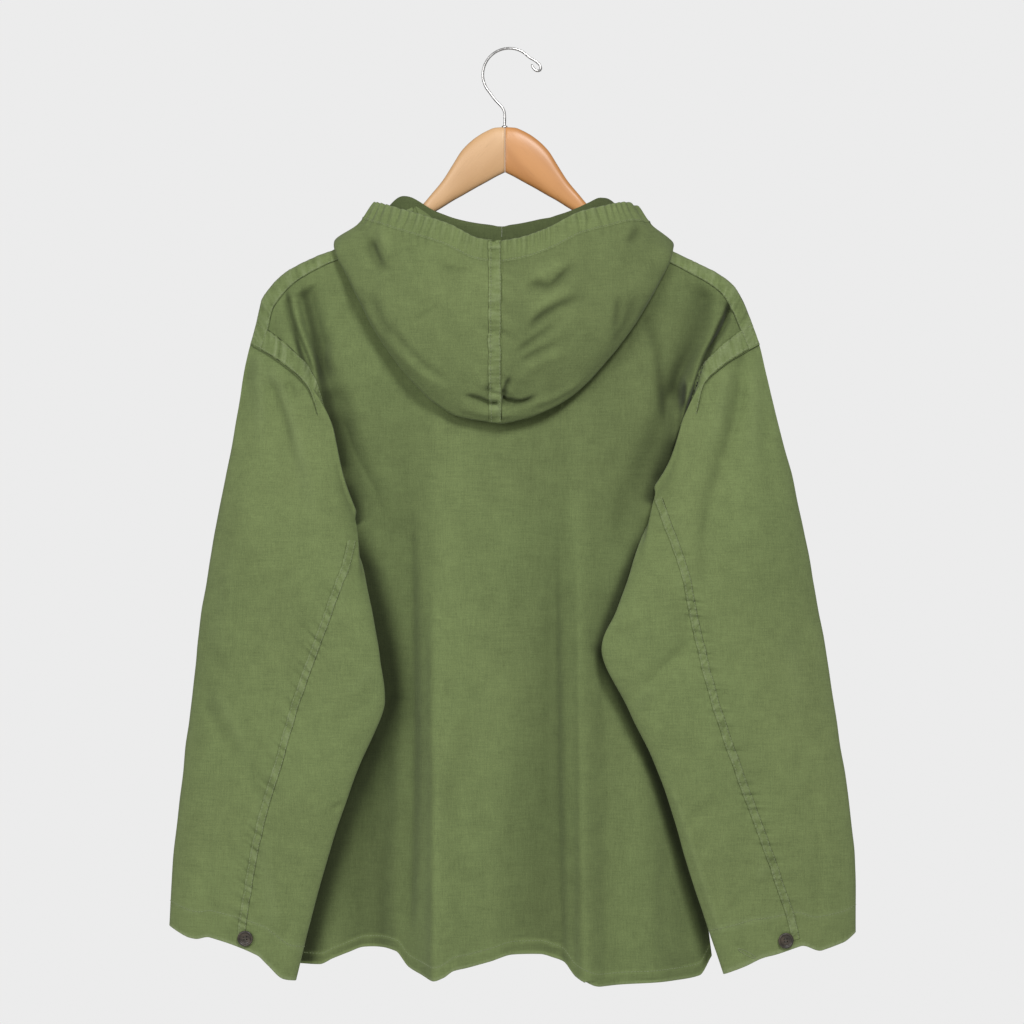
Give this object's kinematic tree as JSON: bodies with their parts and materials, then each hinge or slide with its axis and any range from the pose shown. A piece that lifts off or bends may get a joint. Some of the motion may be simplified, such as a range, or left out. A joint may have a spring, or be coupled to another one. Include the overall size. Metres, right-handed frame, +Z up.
{
  "type": "hooded overshirt on a clothes hanger",
  "caption": "Hooded long-sleeved cotton overshirt hanging from a wooden clothes hanger with a wire hook, hood down, seen best from its back.",
  "frame": {"origin": "the point inside the hanger's hook that rests on a peg or rod", "axes": "+Z up, +Y towards the garment's back, +X towards the wearer's left"},
  "size_m": [0.6587, 0.1177, 0.8957],
  "materials": {
    "olive_cotton": "plain weave cotton, matt",
    "dark_button": "satin, dark brown",
    "beech": "clear satin varnish",
    "steel_wire": "bright plated wire"
  },
  "bodies": {
    "root": {"back_panel": "olive_cotton", "front_panel": "olive_cotton", "sleeve_left": "olive_cotton", "sleeve_right": "olive_cotton", "hood_left": "olive_cotton", "hood_right": "olive_cotton", "hood_casing_left": "olive_cotton", "hood_casing_right": "olive_cotton", "cuff_button_left": "dark_button", "cuff_button_right": "dark_button", "hanger_arm_left": "beech", "hanger_arm_right": "beech", "hanger_hook": "steel_wire"}
  },
  "joints": []
}
